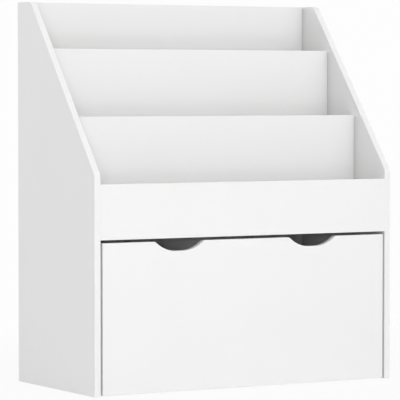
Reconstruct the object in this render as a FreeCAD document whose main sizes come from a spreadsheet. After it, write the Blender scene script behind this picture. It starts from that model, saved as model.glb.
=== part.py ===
import FreeCAD, Part
import Sketcher
import math
import os

# A low white bookcase: three book pockets in steps between two sloping sides,
# and one wide box on castors in the bay under them.
# Origin under the middle of the case on the floor, front towards -Y, +Z up, millimetres.

doc = FreeCAD.newDocument("bookcase")

sizes = {
    # Case
    "case_width": 620,
    "case_depth": 300,
    "case_height": 696,
    "board": 12,
    "upright_height": 388,       # upright part of a side's front edge
    "top_flat": 52,              # flat top of a side
    "side_round": 15,            # corners at both ends of a side's slope
    "edge_round": 0.5,           # broken edges of every board
    "bay_height": 274,           # floor to the underside of the bay's top
    "front_panel_height": 97.5,
    "middle_setback": 104,       # front of the case to the middle panel
    "middle_top": 488.5,
    "upper_setback": 197.5,      # front of the case to the upper panel
    "upper_top": 610.5,
    "pocket_depth": 85.5,        # a panel's top down to the floor behind it
    # Rolling box
    "box_side_gap": 4,
    "box_top_gap": 5.4,
    "box_ground_gap": 2,
    "box_rear_gap": 0.5,
    "box_wall_drop": 44,         # top of the box front down to its walls
    "cutout_width": 99.2,
    "cutout_flat": 14,           # straight middle of a cut-out's bottom
    "cutout_depth": 17.3,
    "cutout_spacing": 278.5,
    "cutout_round": 6,
    # Cam locks, their bolts and dowels
    "cam_diameter": 12,
    "cam_inset": 24,             # end of a board to its cam
    "cam_seat": 3.5,             # cam below the bolt's axis
    "cam_slot_length": 8,
    "cam_slot_width": 1.4,
    "cam_slot_depth": 1.5,
    "bolt_diameter": 5,
    "bolt_neck": 4,
    "bolt_head": 6,
    "bolt_head_length": 3,
    "dowel_diameter": 6,
    "dowel_length": 24,
    "dowel_round": 1,
    "blind_skin": 3,             # board left under a blind hole
    "bore_clearance": 0.1,
    "end_clearance": 0.5,
    "cam_margin": 30,            # top of an upright panel to its cam
    "dowel_margin": 40,          # foot of an upright panel to its dowel
    "back_margin": 60,           # ends of the back panel to its cams
    "floor_dowel_spacing": 300,
    # Screws of the box
    "screw_diameter": 4,
    "screw_length": 40,
    "screw_head": 8,
    "screw_head_height": 3,
    "screw_margin": 35,          # upper and lower edges of a box wall to its fasteners
    "floor_screw_margin": 95,    # front and rear edges of the box floor to its side screws
    "recess_length": 4.5,
    "recess_width": 1.1,
    "recess_depth": 1.3,
    # Castors
    "castor_height": 40,
    "castor_inset": 45,          # edges of the box floor to a castor
    "wheel_diameter": 30,
    "wheel_width": 14,
    "tyre_round": 2,
    "rim_thickness": 3.5,
    "wheel_recess": 3,
    "rib_thickness": 1.6,
    "rib_drop": 1,
    "rib_pairs": 3,
    "hub_diameter": 11,
    "hub_gap": 0.6,              # wheel to the fork's leg
    "running_clearance": 0.05,
    "axle_diameter": 5,
    "axle_head": 8,
    "axle_head_height": 1.5,
    "bracket_width": 44,
    "bracket_length": 40,
    "bracket_gauge": 2,
    "bracket_corner": 5,
    "bracket_leg": 18,
    "bracket_pitch_across": 32,
    "bracket_pitch_along": 28,
    "castor_screw_diameter": 3.5,
    "castor_screw_grip": 9,      # thread in the box floor
    "castor_screw_head": 7,
    "castor_screw_head_height": 2,
    # Holes for fixing the case to a wall
    "wall_hole_diameter": 5.5,
    "wall_hole_spacing": 400,
    "wall_hole_drop": 116,
}

sheet = doc.addObject("Spreadsheet::Sheet", "dims")
for row, (alias, value) in enumerate(sizes.items(), start=1):
    sheet.set(f"A{row}", alias)
    sheet.set(f"B{row}", str(value))
    sheet.setAlias(f"B{row}", alias)
doc.recompute()

# Planes and heights of the case
side_outer = "(dims.case_width / 2)"
side_inner = "(dims.case_width / 2 - dims.board)"
front_plane = "(-dims.case_depth / 2)"
back_plane = "(dims.case_depth / 2)"
back_face = "(dims.case_depth / 2 - dims.board)"
front_rear = f"({front_plane} + dims.board)"
front_top = "(dims.bay_height + dims.front_panel_height)"
bay_floor = "(dims.bay_height + dims.board)"
middle_front = f"({front_plane} + dims.middle_setback)"
middle_rear = f"({middle_front} + dims.board)"
upper_front = f"({front_plane} + dims.upper_setback)"
upper_rear = f"({upper_front} + dims.board)"
middle_floor_top = "(dims.middle_top - dims.pocket_depth)"
middle_floor_base = f"({middle_floor_top} - dims.board)"
upper_floor_top = "(dims.upper_top - dims.pocket_depth)"
upper_floor_base = f"({upper_floor_top} - dims.board)"

# Planes and heights of the box
box_outer = f"({side_inner} - dims.box_side_gap)"
box_inner = f"({box_outer} - dims.board)"
box_rear = f"({back_face} - dims.box_rear_gap)"
box_back_face = f"({box_rear} - dims.board)"
box_top = "(dims.bay_height - dims.box_top_gap)"
wall_top = f"({box_top} - dims.box_wall_drop)"
box_base = "dims.castor_height"
box_floor_top = "(dims.castor_height + dims.board)"

# Sizes that several fasteners share
half_board = "dims.board / 2"
face_depth = "(dims.board - dims.blind_skin)"
bolt_hole = "(dims.bolt_diameter / 2 + dims.bore_clearance)"
head_hole = "(dims.bolt_head / 2 + dims.bore_clearance)"
cam_hole = "(dims.cam_diameter / 2 + dims.bore_clearance)"
cam_hole_depth = f"({half_board} + dims.cam_seat + dims.bore_clearance)"
dowel_hole = "(dims.dowel_diameter / 2 + dims.bore_clearance)"
screw_hole = "(dims.screw_diameter / 2 + dims.bore_clearance)"
castor_screw_hole = "(dims.castor_screw_diameter / 2 + dims.bore_clearance)"
fork_inner = "(dims.wheel_width / 2 + dims.hub_gap)"
fork_outer = f"({fork_inner} + dims.bracket_gauge)"
axle_height = "(dims.wheel_diameter / 2)"
axle_hole = "(dims.axle_diameter / 2 + dims.running_clearance)"
plate_base = "(dims.castor_height - dims.bracket_gauge)"

# Directions as whole numbers along X, Y and Z
right, left = (1, 0, 0), (-1, 0, 0)
rearward, forward = (0, 1, 0), (0, -1, 0)
upward, downward = (0, 0, 1), (0, 0, -1)
no_turn = FreeCAD.Rotation()
half_turn = 180
same_place = 0.001

nodes = []
blanks = {}
bores = {}
groups = {}


def opposite(direction):
    return tuple(-part for part in direction)


def middle(low, high):
    return f"(({low} + {high}) / 2)"


def between(low, high, share):
    return f"({low} + ({high} - {low}) * {share})"


def shifted(point, direction, distance):
    moved = []
    for place, part in zip(point, direction):
        moved.append(f"{place} + {part} * ({distance})" if part else place)
    return moved


def turn_to(direction):
    return FreeCAD.Rotation(FreeCAD.Vector(*upward), FreeCAD.Vector(*direction))


def put(item, point, rotation=no_turn):
    item.Placement = FreeCAD.Placement(FreeCAD.Vector(), rotation)
    for axis, place in zip("xyz", point):
        item.setExpression(f"Placement.Base.{axis}", place)


def bind(item, expressions):
    for name, expression in expressions.items():
        item.setExpression(name, expression)


def new_body(label):
    return doc.addObject("PartDesign::Body", f"{label}_blank")


def add_box(body, name, low, high, kind="Additive"):
    box = body.newObject(f"PartDesign::{kind}Box", name)
    extents = [f"{end} - ({start})" for start, end in zip(low, high)]
    bind(box, dict(zip(("Length", "Width", "Height"), extents)))
    put(box, low)
    return box


def add_cylinder(body, name, radius, length, point, direction=upward, kind="Additive"):
    cylinder = body.newObject(f"PartDesign::{kind}Cylinder", name)
    bind(cylinder, {"Radius": radius, "Height": length})
    put(cylinder, point, turn_to(direction))
    return cylinder


def add_cone(body, name, radius, end_radius, length, point):
    cone = body.newObject("PartDesign::AdditiveCone", name)
    bind(cone, {"Radius1": radius, "Radius2": end_radius, "Height": length})
    put(cone, point)


def round_edges(body, base, name, radius, edges=None):
    doc.recompute()
    fillet = body.newObject("PartDesign::Fillet", name)
    fillet.Base = (base, edges or ["Edge1"])
    fillet.UseAllEdges = edges is None
    fillet.setExpression("Radius", radius)
    doc.recompute()
    return fillet


def edges_along(feature, axis, places):
    # Names of the straight edges along one axis that pass through the given places
    doc.recompute()
    found = []
    for number, edge in enumerate(feature.Shape.Edges, start=1):
        run = edge.Vertexes[-1].Point - edge.Vertexes[0].Point
        straight = abs(abs(run[axis]) - edge.Length) < same_place
        across = [part for index, part in enumerate(edge.CenterOfMass) if index != axis]
        for place in places:
            apart = max(abs(part - wanted) for part, wanted in zip(across, place))
            if straight and apart < same_place:
                found.append(f"Edge{number}")
    return found


# Boards

def make_board(label, low, high):
    body = new_body(label)
    extents = [f"{end} - ({start})" for start, end in zip(low, high)]
    slab = add_box(body, f"{label}_slab", ("0", "0", "0"), extents)
    put(body, low)
    blanks[label] = body
    bores[label] = []
    return body, slab


def plain_board(label, low, high):
    body, slab = make_board(label, low, high)
    round_edges(body, slab, f"{label}_edges", "dims.edge_round")


def measure_sketch(outline, measures):
    for name, (kind, line, start, other_line, end, alias) in measures.items():
        measure = Sketcher.Constraint(kind, line, start, other_line, end, sheet.get(alias))
        number = outline.addConstraint(measure)
        outline.renameConstraint(number, name)
        outline.setExpression(f"Constraints.{name}", f"dims.{alias}")


def side_panel(label, x_start):
    body = new_body(label)
    outline = body.newObject("Sketcher::SketchObject", f"{label}_outline")
    plane = [item for item in body.Origin.OriginFeatures if item.Role == "YZ_Plane"][0]
    outline.AttachmentSupport = (plane, [""])
    outline.MapMode = "FlatFace"
    depth, height = sheet.case_depth, sheet.case_height
    slope_ends = [(depth - sheet.top_flat, height), (0, sheet.upright_height)]
    corners = [(0, 0), (depth, 0), (depth, height), *slope_ends]
    points = [FreeCAD.Vector(*corner, 0) for corner in corners]
    for start, end in zip(points, points[1:] + points[:1]):
        outline.addGeometry(Part.LineSegment(start, end))
    foot, rear, top, slope, upright = range(len(points))
    for line in range(len(points)):
        outline.addConstraint(Sketcher.Constraint("Coincident", line, 2, (line + 1) % len(points), 1))
    outline.addConstraint(Sketcher.Constraint("Coincident", foot, 1, -1, 1))
    for line in (foot, top):
        outline.addConstraint(Sketcher.Constraint("Horizontal", line))
    for line in (rear, upright):
        outline.addConstraint(Sketcher.Constraint("Vertical", line))
    measures = {
        "depth": ("DistanceX", foot, 1, foot, 2, "case_depth"),
        "height": ("DistanceY", rear, 1, rear, 2, "case_height"),
        "flat": ("DistanceX", top, 2, top, 1, "top_flat"),
        "front": ("DistanceY", upright, 2, upright, 1, "upright_height"),
    }
    measure_sketch(outline, measures)
    pad = body.newObject("PartDesign::Pad", f"{label}_pad")
    pad.Profile = outline
    pad.setExpression("Length", "dims.board")
    slope_edges = edges_along(pad, 0, slope_ends)
    corner_round = round_edges(body, pad, f"{label}_corners", "dims.side_round", slope_edges)
    round_edges(body, corner_round, f"{label}_edges", "dims.edge_round")
    put(body, (x_start, front_plane, "0"))
    blanks[label] = body
    bores[label] = []


def finger_cutout(body, name, across, height):
    # A flat bottom between two arcs, open at the board's top; the sketch's origin is its top middle
    outline = body.newObject("Sketcher::SketchObject", f"{name}_outline")
    plane = [item for item in body.Origin.OriginFeatures if item.Role == "XZ_Plane"][0]
    outline.AttachmentSupport = (plane, [""])
    outline.MapMode = "FlatFace"
    bind(outline, {"AttachmentOffset.Base.x": across, "AttachmentOffset.Base.y": height})
    half, flat_half, depth = sheet.cutout_width / 2, sheet.cutout_flat / 2, sheet.cutout_depth
    radius = ((half - flat_half) ** 2 + depth ** 2) / (2 * depth)
    rise = radius - depth
    lean = math.atan2(rise, half - flat_half)
    left_end, right_end = FreeCAD.Vector(-half, 0), FreeCAD.Vector(half, 0)
    left_foot, right_foot = FreeCAD.Vector(-flat_half, -depth), FreeCAD.Vector(flat_half, -depth)
    left_circle = Part.Circle(FreeCAD.Vector(-flat_half, rise), FreeCAD.Vector(*upward), radius)
    right_circle = Part.Circle(FreeCAD.Vector(flat_half, rise), FreeCAD.Vector(*upward), radius)
    lowest = 3 * math.pi / 2
    top = outline.addGeometry(Part.LineSegment(right_end, left_end))
    left_arc = outline.addGeometry(Part.ArcOfCircle(left_circle, math.pi + lean, lowest))
    flat = outline.addGeometry(Part.LineSegment(left_foot, right_foot))
    right_arc = outline.addGeometry(Part.ArcOfCircle(right_circle, lowest, 2 * math.pi - lean))
    outline.addConstraint(Sketcher.Constraint("Coincident", top, 2, left_arc, 1))
    outline.addConstraint(Sketcher.Constraint("Tangent", left_arc, 2, flat, 1))
    outline.addConstraint(Sketcher.Constraint("Tangent", flat, 2, right_arc, 1))
    outline.addConstraint(Sketcher.Constraint("Coincident", right_arc, 2, top, 1))
    outline.addConstraint(Sketcher.Constraint("PointOnObject", top, 1, -1))
    for line in (top, flat):
        outline.addConstraint(Sketcher.Constraint("Symmetric", line, 1, line, 2, -2))
    measures = {
        "width": ("DistanceX", top, 2, top, 1, "cutout_width"),
        "flat": ("DistanceX", flat, 1, flat, 2, "cutout_flat"),
        "depth": ("DistanceY", flat, 1, top, 2, "cutout_depth"),
    }
    measure_sketch(outline, measures)
    pocket = body.newObject("PartDesign::Pocket", name)
    pocket.Profile = outline
    pocket.setExpression("Length", "dims.board")
    return pocket


def box_front_board(label, low, high):
    body, slab = make_board(label, low, high)
    width = f"({high[0]} - {low[0]})"
    height = f"({high[2]} - {low[2]})"
    cutout = slab
    for name, side in (("left", -1), ("right", 1)):
        across = f"{width} / 2 + {side} * dims.cutout_spacing / 2"
        cutout = finger_cutout(body, f"{label}_{name}_cutout", across, height)
    doc.recompute()
    corners = []
    for side in (-1, 1):
        for end in (-1, 1):
            offset = (side * sheet.cutout_spacing + end * sheet.cutout_width) / 2
            corners.append((slab.Length.Value / 2 + offset, slab.Height.Value))
    lip_edges = edges_along(cutout, 1, corners)
    lips = round_edges(body, cutout, f"{label}_lips", "dims.cutout_round", lip_edges)
    round_edges(body, lips, f"{label}_edges", "dims.edge_round")


side_panel("left_side_panel", f"-{side_outer}")
side_panel("right_side_panel", side_inner)
case_boards = {
    "back_panel": ((back_face, "0"), (back_plane, "dims.case_height")),
    "bay_top": ((front_rear, "dims.bay_height"), (back_face, bay_floor)),
    "front_panel": ((front_plane, "dims.bay_height"), (front_rear, front_top)),
    "middle_panel": ((middle_front, bay_floor), (middle_rear, "dims.middle_top")),
    "upper_panel": ((upper_front, middle_floor_base), (upper_rear, "dims.upper_top")),
    "middle_floor": ((middle_rear, middle_floor_base), (upper_front, middle_floor_top)),
    "upper_floor": ((upper_rear, upper_floor_base), (back_face, upper_floor_top)),
}
for label, (low, high) in case_boards.items():
    plain_board(label, (f"-{side_inner}", *low), (side_inner, *high))

front_low = (f"-{box_outer}", front_plane, "dims.box_ground_gap")
box_front_board("box_front", front_low, (box_outer, front_rear, box_top))
box_boards = {
    "box_left_wall": ((f"-{box_outer}", front_rear), (f"-{box_inner}", box_rear, wall_top)),
    "box_right_wall": ((box_inner, front_rear), (box_outer, box_rear, wall_top)),
    "box_back": ((f"-{box_inner}", box_back_face), (box_inner, box_rear, wall_top)),
    "box_floor": ((f"-{box_inner}", front_rear), (box_inner, box_back_face, box_floor_top)),
}
for label, (low, high) in box_boards.items():
    plain_board(label, (*low, box_base), high)


# Fasteners, one of each kind at the origin

def turned(name, steps):
    # A body of plain lengths on one axis: (radius, start, length) each
    body = new_body(name)
    for number, (radius, start, length) in enumerate(steps):
        add_cylinder(body, f"{name}_step_{number}", radius, length, ("0", "0", start))
    return body


def cross_recess(body, name, start, kind):
    # Two crossed slots, from the start height up by their depth
    length, width, depth = (f"dims.{kind}_{size}" for size in ("length", "width", "depth"))
    for across, along in ((length, width), (width, length)):
        low = (f"-{across} / 2", f"-{along} / 2", start)
        high = (f"{across} / 2", f"{along} / 2", f"{start} + {depth}")
        add_box(body, f"{name}_slot", low, high, "Subtractive")


def make_cam_lock():
    # Turns about Z, with its face up and the mouth for the bolt's head towards +X
    body = new_body("cam_lock")
    foot = ("0", "0", "-dims.cam_seat")
    add_cylinder(body, "cam_lock_drum", "dims.cam_diameter / 2", f"{half_board} + dims.cam_seat", foot)
    low = (f"-{head_hole}", f"-{head_hole}", "-dims.cam_seat")
    high = ("dims.cam_diameter", head_hole, head_hole)
    add_box(body, "cam_lock_mouth", low, high, "Subtractive")
    cross_recess(body, "cam_lock", f"{half_board} - dims.cam_slot_depth", "cam_slot")
    return body


def make_cam_bolt():
    # Thread below the joint's face, neck and head above it
    grip = f"({face_depth} - dims.end_clearance)"
    thread = ("dims.bolt_diameter / 2", f"-{grip}", grip)
    neck = ("dims.bolt_neck / 2", "0", "dims.cam_inset")
    head_start = "dims.cam_inset - dims.bolt_head_length / 2"
    head = ("dims.bolt_head / 2", head_start, "dims.bolt_head_length")
    return turned("cam_bolt", (thread, neck, head))


def make_dowel():
    body = turned("dowel", (("dims.dowel_diameter / 2", "0", "dims.dowel_length"),))
    round_edges(body, body.Tip, "dowel_ends", "dims.dowel_round")
    return body


def make_box_screw():
    # Head flush at the origin, thread along +Z
    thread_radius = "dims.screw_diameter / 2"
    body = turned("box_screw", ((thread_radius, "0", "dims.screw_length"),))
    head_radius, height = "dims.screw_head / 2", "dims.screw_head_height"
    add_cone(body, "box_screw_head", head_radius, thread_radius, height, ("0", "0", "0"))
    cross_recess(body, "box_screw", "0", "recess")
    return body


def make_castor_screw():
    # Head under the plate at the origin, thread along +Z
    height = "dims.castor_screw_head_height"
    head = ("dims.castor_screw_head / 2", f"-{height}", height)
    thread = ("dims.castor_screw_diameter / 2", "0", "dims.bracket_gauge + dims.castor_screw_grip")
    body = turned("castor_screw", (head, thread))
    cross_recess(body, "castor_screw", f"-{height}", "recess")
    return body


def make_axle():
    # Rivet on the X axis once turned: a shaft through the fork and a head at each end
    head_radius, height = "dims.axle_head / 2", "dims.axle_head_height"
    shaft = ("dims.axle_diameter / 2", f"-{fork_outer}", f"2 * {fork_outer}")
    near_head = (head_radius, f"-{fork_outer} - {height}", height)
    far_head = (head_radius, fork_outer, height)
    return turned("axle", (shaft, near_head, far_head))


cam_lock = make_cam_lock()
cam_bolt = make_cam_bolt()
dowel = make_dowel()
box_screw = make_box_screw()
castor_screw = make_castor_screw()
axle = make_axle()
doc.recompute()


# Joints between boards: the holes in both, and the fastener in them

def bore(name, radius, length, start, direction, *boards):
    tool = doc.addObject("Part::Cylinder", name)
    bind(tool, {"Radius": radius, "Height": length})
    put(tool, start, turn_to(direction))
    for label in boards:
        bores[label].append(tool)


def copy_of(master, group, point, rotation):
    link = doc.addObject("App::Link", f"{master.Name}_copy")
    link.LinkedObject = master
    put(link, point, rotation)
    groups.setdefault(group, []).append(link)


def cam_joint(family, panel, host, point, into, face):
    # point: the bolt's axis at the host's face; into: towards the panel; face: out of the cam's side
    cam_axis = shifted(point, into, "dims.cam_inset")
    bore("bolt_hole", bolt_hole, face_depth, point, opposite(into), host)
    bore("head_hole", head_hole, "dims.cam_inset", point, into, panel)
    cam_face = shifted(cam_axis, face, half_board)
    bore("cam_hole", cam_hole, cam_hole_depth, cam_face, opposite(face), panel)
    copy_of(cam_bolt, f"{family}_cam_bolts", point, turn_to(into))
    mouth = FreeCAD.Vector(*opposite(into))
    cam_turn = FreeCAD.Rotation(mouth, FreeCAD.Vector(), FreeCAD.Vector(*face), "ZXY")
    copy_of(cam_lock, f"{family}_cam_locks", cam_axis, cam_turn)


def dowel_joint(family, panel, host, point, into):
    blind_end = shifted(point, opposite(into), face_depth)
    length = "dims.dowel_length + 2 * dims.end_clearance"
    bore("dowel_hole", dowel_hole, length, blind_end, into, panel, host)
    start = shifted(point, opposite(into), f"{face_depth} - dims.end_clearance")
    copy_of(dowel, f"{family}_dowels", start, turn_to(into))


def screw_joint(panel, host, point, into):
    # point: on the host's outer face, where the countersunk head is flush
    bore("screw_hole", screw_hole, "dims.screw_length + dims.end_clearance", point, into, panel, host)
    sink = doc.addObject("Part::Cone", "countersink")
    radii = {"Radius1": "dims.screw_head / 2 + dims.bore_clearance", "Radius2": screw_hole}
    bind(sink, {**radii, "Height": "dims.screw_head_height"})
    put(sink, point, turn_to(into))
    bores[host].append(sink)
    copy_of(box_screw, "box_screws", point, turn_to(into))


bay_top_level = middle("dims.bay_height", bay_floor)
middle_floor_level = middle(middle_floor_base, middle_floor_top)
upper_floor_level = middle(upper_floor_base, upper_floor_top)
box_floor_level = middle(box_base, box_floor_top)

# Each upright panel: its middle plane, foot and top
uprights = {
    "front_panel": (middle(front_plane, front_rear), "dims.bay_height", front_top),
    "middle_panel": (middle(middle_front, middle_rear), bay_floor, "dims.middle_top"),
    "upper_panel": (middle(upper_front, upper_rear), middle_floor_base, "dims.upper_top"),
}
# Each floor: the boards before and behind it, and its middle plane
floors = {
    "bay_top": ("front_panel", front_rear, "back_panel", back_face, bay_top_level),
    "middle_floor": ("middle_panel", middle_rear, "upper_panel", upper_front, middle_floor_level),
    "upper_floor": ("upper_panel", upper_rear, "back_panel", back_face, upper_floor_level),
}
# Shares of a floor's depth at which its ends have cams and a dowel
cam_shares = {"bay_top": ("1 / 6", "5 / 6"), "middle_floor": ("1 / 3",), "upper_floor": ("1 / 3",)}
dowel_share = {"bay_top": "1 / 2", "middle_floor": "2 / 3", "upper_floor": "2 / 3"}
sides = {"left_side_panel": (f"-{side_inner}", right), "right_side_panel": (side_inner, left)}
for host, (x, into) in sides.items():
    for panel, (y, foot, top) in uprights.items():
        cam_joint("case", panel, host, (x, y, f"{top} - dims.cam_margin"), into, rearward)
        dowel_joint("case", panel, host, (x, y, f"{foot} + dims.dowel_margin"), into)
    for panel, (_, near, _, far, z) in floors.items():
        for share in cam_shares[panel]:
            cam_joint("case", panel, host, (x, between(near, far, share), z), into, downward)
        dowel_joint("case", panel, host, (x, between(near, far, dowel_share[panel]), z), into)
    y = middle(back_face, back_plane)
    for z in ("dims.back_margin", "dims.case_height / 2", "dims.case_height - dims.back_margin"):
        cam_joint("case", "back_panel", host, (x, y, z), into, rearward)
    for share in ("1 / 4", "3 / 4"):
        dowel_joint("case", "back_panel", host, (x, y, f"dims.case_height * {share}"), into)

for side in (-1, 1):
    x = f"{side} * dims.floor_dowel_spacing / 2"
    for panel, (near_host, near, far_host, far, z) in floors.items():
        dowel_joint("case", panel, near_host, (x, near, z), rearward)
        dowel_joint("case", panel, far_host, (x, far, z), forward)
    middle_foot = (x, middle(middle_front, middle_rear), bay_floor)
    dowel_joint("case", "middle_panel", "bay_top", middle_foot, upward)
    dowel_joint("box", "box_floor", "box_front", (x, front_rear, box_floor_level), rearward)
    screw_joint("box_floor", "box_back", (x, box_rear, box_floor_level), forward)
    hole_x = f"{side} * dims.wall_hole_spacing / 2"
    wall_hole = (hole_x, back_face, "dims.case_height - dims.wall_hole_drop")
    bore("wall_hole", "dims.wall_hole_diameter / 2", "dims.board", wall_hole, rearward, "back_panel")

walls = {"box_left_wall": ("-", right), "box_right_wall": ("", left)}
for wall, (sign, inward) in walls.items():
    wall_middle = f"{sign}{middle(box_inner, box_outer)}"
    outer_face = f"{sign}{box_outer}"
    low_row = f"{box_floor_top} + dims.screw_margin"
    high_row = f"{wall_top} - dims.screw_margin"
    for z in (low_row, high_row):
        cam_joint("box", wall, "box_front", (wall_middle, front_rear, z), rearward, inward)
        screw_joint("box_back", wall, (outer_face, middle(box_back_face, box_rear), z), inward)
    for y in (f"{front_rear} + dims.floor_screw_margin", f"{box_back_face} - dims.floor_screw_margin"):
        screw_joint("box_floor", wall, (outer_face, y, box_floor_level), inward)


# Castors under the four corners of the box floor

def castor_bracket(label, x, y):
    # Plate on top, two legs down to the axle, on the wheel's middle
    body = new_body(label)
    half_width = "dims.bracket_width / 2"
    half_length = "dims.bracket_length / 2"
    leg_half = "dims.bracket_leg / 2"
    low = (f"-{half_width}", f"-{half_length}", plate_base)
    plate = add_box(body, f"{label}_plate", low, (half_width, half_length, "dims.castor_height"))
    reach_x, reach_y = sheet.bracket_width / 2, sheet.bracket_length / 2
    corners = [(reach_x * across, reach_y * along) for across in (-1, 1) for along in (-1, 1)]
    round_edges(body, plate, f"{label}_corners", "dims.bracket_corner", edges_along(plate, 2, corners))
    for start, end in ((f"-{fork_outer}", f"-{fork_inner}"), (fork_inner, fork_outer)):
        low, high = (start, f"-{leg_half}", axle_height), (end, leg_half, plate_base)
        add_box(body, f"{label}_leg", low, high)
        eye = (start, "0", axle_height)
        add_cylinder(body, f"{label}_eye", leg_half, "dims.bracket_gauge", eye, right)
    axle_start = (f"-{fork_outer}", "0", axle_height)
    add_cylinder(body, f"{label}_axle_hole", axle_hole, f"2 * {fork_outer}", axle_start, right, "Subtractive")
    for across in (-1, 1):
        for along in (-1, 1):
            hole_x = f"{across} * dims.bracket_pitch_across / 2"
            hole_y = f"{along} * dims.bracket_pitch_along / 2"
            hole = (hole_x, hole_y, plate_base)
            name = f"{label}_screw_hole"
            add_cylinder(body, name, castor_screw_hole, "dims.bracket_gauge", hole, kind="Subtractive")
            site = (f"{x} + {hole_x}", f"{y} + {hole_y}", plate_base)
            length = "dims.bracket_gauge + dims.castor_screw_grip + dims.end_clearance"
            bore("castor_screw_hole", castor_screw_hole, length, site, upward, "box_floor")
            copy_of(castor_screw, "castor_screws", site, no_turn)
    put(body, (x, y, "0"))
    body.Label = label
    nodes.append(body)


def castor_wheel(label, x, y):
    # Turned about Z here, then laid on the X axis: rim, recessed faces, ribs, hub and bore
    body = new_body(label)
    face = "dims.wheel_width / 2"
    radius = "dims.wheel_diameter / 2"
    well = f"({radius} - dims.rim_thickness)"
    floor = f"({face} - dims.wheel_recess)"
    rim = add_cylinder(body, f"{label}_rim", radius, "dims.wheel_width", ("0", "0", f"-{face}"))
    round_edges(body, rim, f"{label}_tread", "dims.tyre_round")
    for start in (f"-{face}", floor):
        place = ("0", "0", start)
        add_cylinder(body, f"{label}_recess", well, "dims.wheel_recess", place, kind="Subtractive")
    rib_half = "dims.rib_thickness / 2"
    rib_end = f"({face} - dims.rib_drop)"
    reach = f"({well} + dims.rim_thickness / 2)"
    rib_size = (f"2 * {reach}", "dims.rib_thickness", f"2 * {rib_end}")
    for number in range(int(sheet.rib_pairs)):
        turn = half_turn * number / sheet.rib_pairs
        rib = add_box(body, f"{label}_rib", ("0", "0", "0"), rib_size)
        rib_x = f"-{reach} * cos({turn}) + {rib_half} * sin({turn})"
        rib_y = f"-{reach} * sin({turn}) - {rib_half} * cos({turn})"
        put(rib, (rib_x, rib_y, f"-{rib_end}"), FreeCAD.Rotation(FreeCAD.Vector(*upward), turn))
    hub_start = ("0", "0", f"-{face}")
    add_cylinder(body, f"{label}_hub", "dims.hub_diameter / 2", "dims.wheel_width", hub_start)
    add_cylinder(body, f"{label}_bore", axle_hole, "dims.wheel_width", hub_start, kind="Subtractive")
    put(body, (x, y, axle_height), turn_to(right))
    body.Label = label
    nodes.append(body)


castor_x = f"({box_inner} - dims.castor_inset)"
castor_front = f"({front_rear} + dims.castor_inset)"
castor_rear = f"({box_back_face} - dims.castor_inset)"
for row, y in (("front", castor_front), ("rear", castor_rear)):
    for column, side in (("left", -1), ("right", 1)):
        x = f"{side} * {castor_x}"
        castor_bracket(f"castor_bracket_{row}_{column}", x, y)
        castor_wheel(f"castor_wheel_{row}_{column}", x, y)
        copy_of(axle, "castor_axles", (x, y, axle_height), turn_to(right))


# Finished pieces: boards with their holes, and fasteners in groups

for label, blank in blanks.items():
    tools = doc.addObject("Part::MultiFuse", f"{label}_bores")
    tools.Shapes = bores[label]
    board = doc.addObject("Part::Cut", f"{label}_bored")
    board.Base = blank
    board.Tool = tools
    board.Label = label
    nodes.append(board)
for label, copies in groups.items():
    group = doc.addObject("Part::Compound", f"{label}_group")
    group.Links = copies
    group.Label = label
    nodes.append(group)
doc.recompute()

for item in doc.Objects:
    if "Invalid" in item.State or "Error" in item.State:
        raise RuntimeError(f"{item.Label} did not build: {item.State}")
for node in nodes:
    if node.Shape.isNull() or not node.Shape.isValid():
        raise RuntimeError(f"{node.Label} has no valid shape")

os.makedirs("parts", exist_ok=True)
for node in nodes:
    node.Shape.exportStep(f"parts/{node.Label}.step")
    print(node.Label, len(node.Shape.Solids), round(node.Shape.Volume))
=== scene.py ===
import bpy
import math
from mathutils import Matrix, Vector


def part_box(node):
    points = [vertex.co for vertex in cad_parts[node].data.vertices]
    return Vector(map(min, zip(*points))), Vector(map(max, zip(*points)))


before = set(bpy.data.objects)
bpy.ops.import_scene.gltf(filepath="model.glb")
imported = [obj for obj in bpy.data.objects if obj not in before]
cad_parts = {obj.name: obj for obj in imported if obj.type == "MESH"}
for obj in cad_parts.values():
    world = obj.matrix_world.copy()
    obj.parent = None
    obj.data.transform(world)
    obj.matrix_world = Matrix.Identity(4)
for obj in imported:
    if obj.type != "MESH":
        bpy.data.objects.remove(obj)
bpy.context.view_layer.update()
print("frame loaded:", len(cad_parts), "pieces")


class Wire:
    # A node's output that takes part in sums; each sum adds a Math node
    def __init__(self, finish, socket):
        self.finish = finish
        self.socket = socket

    def out(self, name):
        return Wire(self.finish, self.socket.node.outputs[name])

    def sum(self, operation, first, second=0.0):
        return self.finish.node("Math", {"operation": operation}, {0: first, 1: second})

    def __add__(self, other):
        return self.sum("ADD", self, other)

    def __radd__(self, other):
        return self.sum("ADD", other, self)

    def __sub__(self, other):
        return self.sum("SUBTRACT", self, other)

    def __rsub__(self, other):
        return self.sum("SUBTRACT", other, self)

    def __mul__(self, other):
        return self.sum("MULTIPLY", self, other)

    def __rmul__(self, other):
        return self.sum("MULTIPLY", other, self)

    def __abs__(self):
        return self.sum("ABSOLUTE", self)

    def least(self, other):
        return self.sum("MINIMUM", self, other)

    def fade(self, length):
        return self.sum("EXPONENT", self * (-1 / length))

    def spread(self, amount):
        # A noise's swing about its own middle
        return (self - 0.5) * amount

    def ease(self, low, high):
        sockets = {"Value": self, "From Min": low, "From Max": high}
        return self.finish.node("MapRange", {"interpolation_type": "SMOOTHSTEP"}, sockets)


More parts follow.
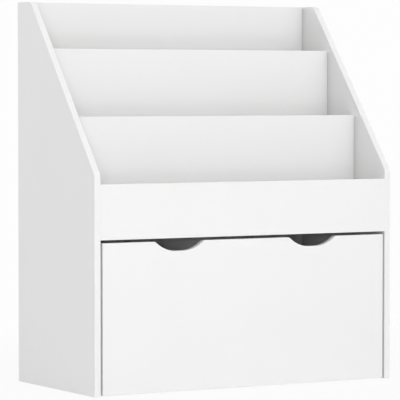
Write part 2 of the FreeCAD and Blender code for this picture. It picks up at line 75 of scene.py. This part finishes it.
class Finish:
    # One node tree, emptied: a material's, or the world's
    def __init__(self, owner):
        owner.use_nodes = True
        self.owner = owner
        self.tree = owner.node_tree
        self.tree.nodes.clear()

    def pick(self, sockets, key):
        if isinstance(key, int):
            return sockets[key]
        return next(socket for socket in sockets if socket.name == key and socket.enabled)

    def node(self, kind, settings=None, sockets=None):
        made = self.tree.nodes.new("ShaderNode" + kind)
        for name, value in (settings or {}).items():
            setattr(made, name, value)
        for key, value in (sockets or {}).items():
            socket = self.pick(made.inputs, key)
            if isinstance(value, Wire):
                self.tree.links.new(value.socket, socket)
            else:
                socket.default_value = value
        outputs = [output for output in made.outputs if output.enabled]
        return Wire(self, outputs[0]) if outputs else None

    def mix(self, share, first, second):
        sockets = {"Factor": share, "A": first, "B": second}
        return self.node("Mix", {"data_type": "RGBA", "clamp_factor": True}, sockets)

    def noise(self, place, scale, detail):
        return self.node("TexNoise", {}, {"Vector": place, "Scale": scale, "Detail": detail})

    def stretched(self, place, factors):
        return self.node("VectorMath", {"operation": "MULTIPLY"}, {0: place, 1: factors})

    def bump(self, height, distance, under=None):
        sockets = {"Height": height, "Distance": distance, "Strength": 1.0}
        if under:
            sockets["Normal"] = under
        return self.node("Bump", {}, sockets)

    def surface(self, sockets):
        shader = self.node("BsdfPrincipled", {}, sockets)
        self.node("OutputMaterial", {}, {"Surface": shader})
        return self.owner


def newFinish(name):
    return Finish(bpy.data.materials.new(name))


def grey(level, warmth=0.0):
    return (level * (1 + warmth), level, level * (1 - warmth), 1.0)


# White satin lacquer on the boards
lacquer = {
    "white": grey(0.84, 0.001),
    "shade": grey(0.825, 0.002),
    "cloudScale": 5.0,           # per metre
    "grainScale": 420.0,
    "grainTone": 0.35,           # share of the shade that the fine grain carries
    "toneRange": (0.3, 0.7),     # part of the noise that runs from white to shade
    "roughness": 0.42,
    "roughnessSpread": 0.10,
    "coat": 0.12,
    "coatRoughness": 0.25,
    "peelScale": 520.0,
    "peelHeight": 0.000012,
    "swellScale": 26.0,
    "swellHeight": 0.00012,
    "edgeTurn": (0.45, 0.75),    # how far a face looks along the thickness, from cut edge to broad face
    "edgeScale": (900.0, 60.0),  # across and along a cut edge
    "edgeHeight": 0.000008,
    "edgeRoughness": 0.05,       # added on a cut edge
    "seamWidth": 0.04,           # share of the board's thickness at each side of an edge
    "seamShade": grey(0.80, 0.004),
    # painted shade: the darker colour that the pocket corners and board ends are mixed towards, standing in
    # for their shading
    "cornerShade": grey(0.60, 0.003),
    "cornerReach": 0.0125,       # metres over which a corner's painted shade fades to a third
    "cornerSeam": 0.001,         # metres behind a board's face where its painted shade stops
    "cornerEnds": 0.006,         # metres over which it sets in at a board's top and foot
    "innerFace": (0.1, 0.2),     # metres to the middle, for a face that looks that way
    "endPaintedShade": 0.12,             # share of that painted shade on the boards' own ends
    "endReach": 0.020,
}
pocketBoards = ("middle_panel", "upper_panel", "back_panel")


def sidePaintedShade(spot, facing):
    # Faint painted shade on a side's inner face where the pockets' boards meet it, darkest in the corner
    # itself
    plan = lacquer
    paintedShade = 0.0
    for name in pocketBoards:
        low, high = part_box(name)
        ahead = low[1] - spot.out("Y")
        underTop = (high[2] - spot.out("Z")).ease(0, plan["cornerEnds"])
        overFoot = (spot.out("Z") - low[2]).ease(0, plan["cornerEnds"])
        here = ahead.ease(-plan["cornerSeam"], 0) * underTop * overFoot
        paintedShade = paintedShade + ahead.fade(plan["cornerReach"]) * here
    return paintedShade * (0 - spot.out("X") * facing).ease(*plan["innerFace"])


def endPaintedShade(spot, facing):
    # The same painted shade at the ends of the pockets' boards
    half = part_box("middle_panel")[1][0]
    return (half - abs(spot.out("X"))).fade(lacquer["endReach"]) * lacquer["endPaintedShade"]


def whiteBoard(name, axis, paintedShade=None):
    plan = lacquer
    finish = newFinish(name)
    coords = finish.node("TexCoord")
    place = coords.out("Object")
    across = finish.node("SeparateXYZ", {}, {"Vector": coords.out("Generated")}).out("XYZ"[axis])
    facing = finish.node("SeparateXYZ", {}, {"Vector": coords.out("Normal")}).out("XYZ"[axis])
    cutEdge = 1 - abs(facing).ease(*plan["edgeTurn"])
    seam = (1 - across.least(1 - across).ease(0, plan["seamWidth"])) * cutEdge

    clouds = finish.noise(place, plan["cloudScale"], 3)
    grain = finish.noise(place, plan["grainScale"], 2)
    broadTone = clouds.ease(*plan["toneRange"]) * (1 - plan["grainTone"])
    fineTone = grain.ease(*plan["toneRange"]) * plan["grainTone"]
    colour = finish.mix(broadTone + fineTone, plan["white"], plan["shade"])
    colour = finish.mix(seam, colour, plan["seamShade"])
    # painted shade: on broad faces the colour is darkened towards cornerShade in the corners and at board
    # ends
    if paintedShade:
        spot = finish.node("SeparateXYZ", {}, {"Vector": place})
        colour = finish.mix(paintedShade(spot, facing) * (1 - cutEdge), colour, plan["cornerShade"])

    peel = finish.noise(place, plan["peelScale"], 1)
    swell = finish.noise(place, plan["swellScale"], 1)
    edgeFactors = [plan["edgeScale"][1]] * 3
    edgeFactors[axis] = plan["edgeScale"][0]
    fibres = finish.noise(finish.stretched(place, edgeFactors), 1.0, 3)
    relief = finish.bump(swell, plan["swellHeight"])
    relief = finish.bump(peel, plan["peelHeight"], relief)
    relief = finish.bump(fibres * cutEdge, plan["edgeHeight"], relief)
    roughness = plan["roughness"] + clouds.spread(plan["roughnessSpread"]) + cutEdge * plan["edgeRoughness"]
    return finish.surface({
        "Base Color": colour,
        "Roughness": roughness,
        "Normal": relief,
        "Coat Weight": plan["coat"],
        "Coat Roughness": plan["coatRoughness"],
    })


# Cast zinc of the cam locks
castZinc = {
    "bright": grey(0.60),
    "dull": grey(0.42, 0.01),
    "roughness": 0.42,
    "roughnessSpread": 0.25,
    "patchScale": 260.0,
    "patchShare": 0.7,           # the grain has the rest
    "toneRange": (0.35, 0.7),
    "grainScale": 2600.0,
    "grainHeight": 0.00003,
}


def camZinc():
    plan = castZinc
    finish = newFinish("castZinc")
    place = finish.node("TexCoord").out("Object")
    patches = finish.noise(place, plan["patchScale"], 4)
    grain = finish.noise(place, plan["grainScale"], 2)
    tone = patches * plan["patchShare"] + grain * (1 - plan["patchShare"])
    return finish.surface({
        "Base Color": finish.mix(tone.ease(*plan["toneRange"]), plan["bright"], plan["dull"]),
        "Metallic": 1.0,
        "Roughness": plan["roughness"] + patches.spread(plan["roughnessSpread"]),
        "Normal": finish.bump(grain, plan["grainHeight"]),
    })


# Bright zinc plating on bolts, screws and axles
platedZinc = {
    "bright": grey(0.72, -0.01),
    "tinted": (0.68, 0.66, 0.56, 1.0),   # faint straw tint of the plating
    "roughness": 0.26,
    "roughnessSpread": 0.2,
    "tintScale": 140.0,
    "tintRange": (0.4, 0.75),
    "grainScale": 3400.0,
    "grainHeight": 0.00001,
}


def boltZinc():
    plan = platedZinc
    finish = newFinish("platedZinc")
    place = finish.node("TexCoord").out("Object")
    patches = finish.noise(place, plan["tintScale"], 3)
    grain = finish.noise(place, plan["grainScale"], 2)
    return finish.surface({
        "Base Color": finish.mix(patches.ease(*plan["tintRange"]), plan["bright"], plan["tinted"]),
        "Metallic": 1.0,
        "Roughness": plan["roughness"] + grain.spread(plan["roughnessSpread"]),
        "Normal": finish.bump(grain, plan["grainHeight"]),
    })


# Beech of the dowels
beech = {
    "light": (0.66, 0.45, 0.26, 1.0),
    "dark": (0.47, 0.28, 0.14, 1.0),
    "fleck": (0.36, 0.20, 0.10, 1.0),
    "fibreFactors": (90.0, 1300.0, 1300.0),
    "fibreRange": (0.3, 0.7),
    "fleckScale": 900.0,
    "fleckReach": 0.35,          # share of a cell
    "fleckShare": 0.5,
    "roughness": 0.62,
    "roughnessSpread": 0.15,
    "fibreHeight": 0.00005,
}


def dowelBeech():
    plan = beech
    finish = newFinish("beech")
    place = finish.node("TexCoord").out("Object")
    fibres = finish.noise(finish.stretched(place, plan["fibreFactors"]), 1.0, 4)
    flecks = finish.node("TexVoronoi", {}, {"Vector": place, "Scale": plan["fleckScale"]})
    fleckTone = (1 - flecks.ease(0, plan["fleckReach"])) * plan["fleckShare"]
    colour = finish.mix(fibres.ease(*plan["fibreRange"]), plan["light"], plan["dark"])
    return finish.surface({
        "Base Color": finish.mix(fleckTone, colour, plan["fleck"]),
        "Roughness": plan["roughness"] + fibres.spread(plan["roughnessSpread"]),
        "Normal": finish.bump(fibres, plan["fibreHeight"]),
    })


# Zinc-plated sheet of the castor forks
sheetSteel = {
    "bright": grey(0.66, -0.005),
    "dull": grey(0.50, 0.01),
    "roughness": 0.34,
    "roughnessSpread": 0.2,
    "spangleScale": 180.0,
    "spangleShare": 0.5,         # the rolling lines have the rest
    "rollFactors": (40.0, 1500.0, 1500.0),   # rolling lines along X
    "rollHeight": 0.00002,
}


def forkSteel():
    plan = sheetSteel
    finish = newFinish("sheetSteel")
    place = finish.node("TexCoord").out("Object")
    spangle = finish.node("TexVoronoi", {}, {"Vector": place, "Scale": plan["spangleScale"]})
    cell = finish.node("SeparateXYZ", {}, {"Vector": spangle.out("Color")})
    rolling = finish.noise(finish.stretched(place, plan["rollFactors"]), 1.0, 3)
    tone = cell * plan["spangleShare"] + rolling * (1 - plan["spangleShare"])
    return finish.surface({
        "Base Color": finish.mix(tone, plan["bright"], plan["dull"]),
        "Metallic": 1.0,
        "Roughness": plan["roughness"] + tone.spread(plan["roughnessSpread"]),
        "Normal": finish.bump(rolling, plan["rollHeight"]),
    })


# Moulded castor wheels: dark plastic with a scuffed tread
wheelPlastic = {
    "dark": grey(0.030, -0.02),
    "worn": grey(0.11, 0.02),
    "roughness": 0.42,
    "roughnessSpread": 0.1,
    "scuffRoughness": 0.25,
    "scuffRange": (0.42, 0.68),
    "scuffFactors": (300.0, 1100.0, 1100.0),
    "textureScale": 3200.0,
    "textureHeight": 0.00003,
    "treadStart": 0.43,          # share of the wheel's diameter, from its middle
    "treadEnd": 0.49,
}


def mouldedWheel():
    plan = wheelPlastic
    finish = newFinish("mouldedWheel")
    coords = finish.node("TexCoord")
    place = coords.out("Object")
    middle = {0: coords.out("Generated"), 1: (0.5, 0.5, 0.5)}
    radial = finish.node("VectorMath", {"operation": "SUBTRACT"}, middle)
    radial = finish.stretched(radial, (0.0, 1.0, 1.0))
    reach = finish.node("VectorMath", {"operation": "LENGTH"}, {0: radial})
    tread = reach.ease(plan["treadStart"], plan["treadEnd"])
    scuffs = finish.noise(finish.stretched(place, plan["scuffFactors"]), 1.0, 4)
    texture = finish.noise(place, plan["textureScale"], 2)
    wear = tread * scuffs.ease(*plan["scuffRange"])
    roughness = plan["roughness"] + wear * plan["scuffRoughness"] + texture.spread(plan["roughnessSpread"])
    return finish.surface({
        "Base Color": finish.mix(wear, plan["dark"], plan["worn"]),
        "Roughness": roughness,
        "Normal": finish.bump(texture + scuffs * tread, plan["textureHeight"]),
    })


# Thickness axis of each board: 0 is X, 1 is Y, 2 is Z
boardAxes = {
    "left_side_panel": 0, "right_side_panel": 0, "box_left_wall": 0, "box_right_wall": 0,
    "back_panel": 1, "front_panel": 1, "middle_panel": 1, "upper_panel": 1,
    "box_front": 1, "box_back": 1,
    "bay_top": 2, "middle_floor": 2, "upper_floor": 2, "box_floor": 2,
}
boardFinishes = [whiteBoard("whiteBoard" + letter, axis) for axis, letter in enumerate("XYZ")]
pieceFinishes = {name: boardFinishes[axis] for name, axis in boardAxes.items()}
# The case sides and the pockets' boards carry painted corner shade
caseSide = whiteBoard("whiteCaseSide", 0, sidePaintedShade)
pocketBoard = whiteBoard("whitePocketBoard", 1, endPaintedShade)
for name in ("left_side_panel", "right_side_panel"):
    pieceFinishes[name] = caseSide
for name in pocketBoards:
    pieceFinishes[name] = pocketBoard
fittings = {
    camZinc(): ("case_cam_locks", "box_cam_locks"),
    boltZinc(): ("case_cam_bolts", "box_cam_bolts", "box_screws", "castor_screws", "castor_axles"),
    dowelBeech(): ("case_dowels", "box_dowels"),
    forkSteel(): [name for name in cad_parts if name.startswith("castor_bracket")],
    mouldedWheel(): [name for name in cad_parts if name.startswith("castor_wheel")],
}
for finish, names in fittings.items():
    for name in names:
        pieceFinishes[name] = finish
for name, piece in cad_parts.items():
    piece.data.materials.clear()
    piece.data.materials.append(pieceFinishes[name])
print("finishes set on", len(pieceFinishes), "pieces")


# Pale floor and white surroundings; both look white, and the floor keeps the object's shadow
studio = {
    "white": grey(0.985),
    "ambient": 0.468,
    "floorColour": grey(0.92),
    "speckleColour": grey(0.88),
    "speckleScale": 300.0,
    "speckleShare": 0.2,
    "floorReach": 12.0,
    "shadowShare": 0.10,         # how much of the floor's own shading shows beside the object
    "shadowStart": 0.35,         # metres from the object's middle at which it starts to fade
    "shadowEnd": 1.3,
}


def seenDirectly(finish):
    path = finish.node("LightPath")
    seen = path.out("Is Camera Ray") + path.out("Is Glossy Ray") + path.out("Is Transmission Ray")
    return seen.least(1.0)


def makeFloor():
    finish = newFinish("paleFloor")
    place = finish.node("NewGeometry").out("Position")
    flat = finish.stretched(place, (1.0, 1.0, 0.0))
    away = finish.node("VectorMath", {"operation": "LENGTH"}, {0: flat})
    near = 1 - away.ease(studio["shadowStart"], studio["shadowEnd"])
    white = seenDirectly(finish) * (1 - near * studio["shadowShare"])
    speckle = finish.noise(place, studio["speckleScale"], 2) * studio["speckleShare"]
    shade = finish.mix(speckle, studio["floorColour"], studio["speckleColour"])
    matt = finish.node("BsdfDiffuse", {}, {"Color": shade})
    glow = finish.node("Emission", {}, {"Color": studio["white"], "Strength": 1.0})
    surface = finish.node("MixShader", {}, {0: white, 1: matt, 2: glow})
    finish.node("OutputMaterial", {}, {"Surface": surface})
    reach = studio["floorReach"]
    corners = [(-reach, -reach, 0), (reach, -reach, 0), (reach, reach, 0), (-reach, reach, 0)]
    mesh = bpy.data.meshes.new("floor")
    mesh.from_pydata(corners, [], [(0, 1, 2, 3)])
    mesh.materials.append(finish.owner)
    floor = bpy.data.objects.new("floor", mesh)
    bpy.context.scene.collection.objects.link(floor)


def makeSurroundings():
    world = bpy.data.worlds.new("studio")
    bpy.context.scene.world = world
    finish = Finish(world)
    seen = seenDirectly(finish)
    strength = seen + (1 - seen) * studio["ambient"]
    sky = finish.node("Background", {}, {"Color": studio["white"], "Strength": strength})
    finish.node("OutputWorld", {}, {"Surface": sky})


makeFloor()
makeSurroundings()

# Large soft lamps: place, sides in metres, and watts
lampAim = Vector((0, 0, 0.35))
lamps = {
    "frontStrip": {"place": (0.0, -4.0, 0.55), "sides": (2.0, 0.3), "watts": 8.5},
    "cameraStrip": {"place": (-2.5, -3.7, 0.55), "sides": (0.8, 0.35), "watts": 27},
    "topFront": {"place": (0.0, -2.0, 3.4), "sides": (3.0, 2.0), "watts": 47.5},
    "topBack": {"place": (0.0, 1.8, 3.0), "sides": (3.0, 1.6), "watts": 14},
    "rightFront": {"place": (2.2, -3.2, 1.2), "sides": (1.4, 1.4), "watts": 5},
    "rightSoft": {"place": (3.6, 0.0, 1.2), "sides": (2.0, 2.0), "watts": 10},
    "leftBack": {"place": (-2.8, 2.4, 1.6), "sides": (1.8, 1.8), "watts": 23},
    "lowNear": {"place": (0.0, -1.6, 0.12), "sides": (2.2, 0.2), "watts": 1.5},
    "lowFar": {"place": (0.0, -3.6, 0.12), "sides": (2.4, 0.2), "watts": 1.4},
}
for name, plan in lamps.items():
    light = bpy.data.lights.new(name, "AREA")
    light.shape = "RECTANGLE"
    light.size, light.size_y = plan["sides"]
    light.energy = plan["watts"]
    lamp = bpy.data.objects.new(name, light)
    lamp.location = plan["place"]
    line = lampAim - Vector(plan["place"])
    lamp.rotation_euler = line.to_track_quat("-Z", "Y").to_euler()
    lamp.visible_camera = False
    bpy.context.scene.collection.objects.link(lamp)
print("studio lit by", len(lamps), "lamps")

# Camera at the photograph's place: turned from +Y towards +X, and down
cameraPlan = {
    "place": (-2.44797, -4.20445, 0.53921),
    "turn": 0.5253,
    "down": 0.0424,
    "lens": 237.32,
    "sensor": 36.0,
}
eye = bpy.data.cameras.new("camera")
eye.sensor_fit = "HORIZONTAL"
eye.sensor_width = cameraPlan["sensor"]
eye.lens = cameraPlan["lens"]
camera = bpy.data.objects.new("camera", eye)
camera.location = cameraPlan["place"]
camera.rotation_euler = (math.pi / 2 - cameraPlan["down"], 0, -cameraPlan["turn"])
bpy.context.scene.collection.objects.link(camera)
bpy.context.scene.camera = camera
bpy.context.scene.view_settings.view_transform = "Standard"
print("camera placed")
